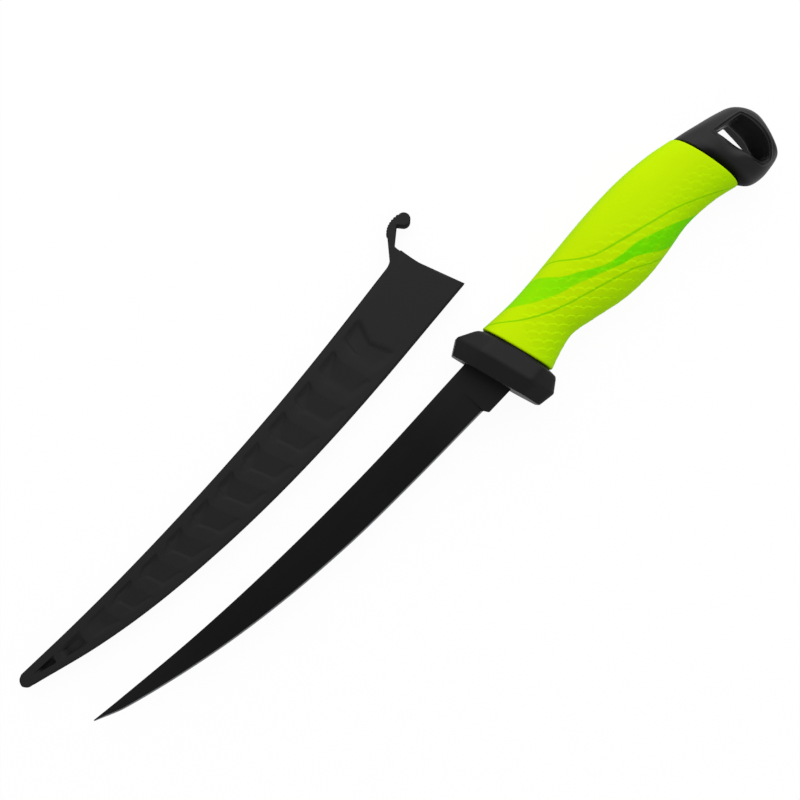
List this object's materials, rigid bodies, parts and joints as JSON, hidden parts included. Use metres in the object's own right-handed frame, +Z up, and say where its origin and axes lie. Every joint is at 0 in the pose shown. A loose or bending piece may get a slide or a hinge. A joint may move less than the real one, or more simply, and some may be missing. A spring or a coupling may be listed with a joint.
{
  "type": "fillet knife",
  "caption": "Fillet knife with a slim upswept black blade, faceted guard, soft bright grip and lanyard window, lying beside its moulded black sheath with a spring latch.",
  "frame": {"origin": "on the table under the middle of the guard, on the flat land that the knife rests on", "axes": "+X along the tang towards the butt, +Y towards the blade's spine and the sheath, +Z up out of the table"},
  "size_m": [0.3722, 0.0974, 0.026],
  "materials": {
    "coated_steel": "matte black coating",
    "guard_plastic": "satin moulded",
    "soft_grip": "matte soft touch with green stripes",
    "core_plastic": "plain moulded",
    "pin_steel": "plain",
    "sheath_plastic": "fine matte moulded"
  },
  "bodies": {
    "knife": {"blade": "coated_steel", "guard": "guard_plastic", "grip_sleeve": "soft_grip", "core_left": "core_plastic", "core_right": "core_plastic", "tang_pin_front": "pin_steel", "tang_pin_rear": "pin_steel", "butt_cap": "guard_plastic"},
    "sheath": {"sheath_front": "sheath_plastic", "sheath_back": "sheath_plastic"},
    "latch": {"sheath_latch": "sheath_plastic"}
  },
  "joints": [
    {"name": "sheath_slide", "type": "slide", "parent": "knife", "child": "sheath", "axis": [-1, 0, 0], "range_m": [0, 0.235]},
    {"name": "latch_flex", "type": "hinge", "parent": "sheath", "child": "latch", "pos_m": [-0.0005, 0.0629, 0.0043], "axis": [0, 0, 1], "range_deg": [0, 15], "stiffness_Nm_per_rad": 0.12}
  ]
}
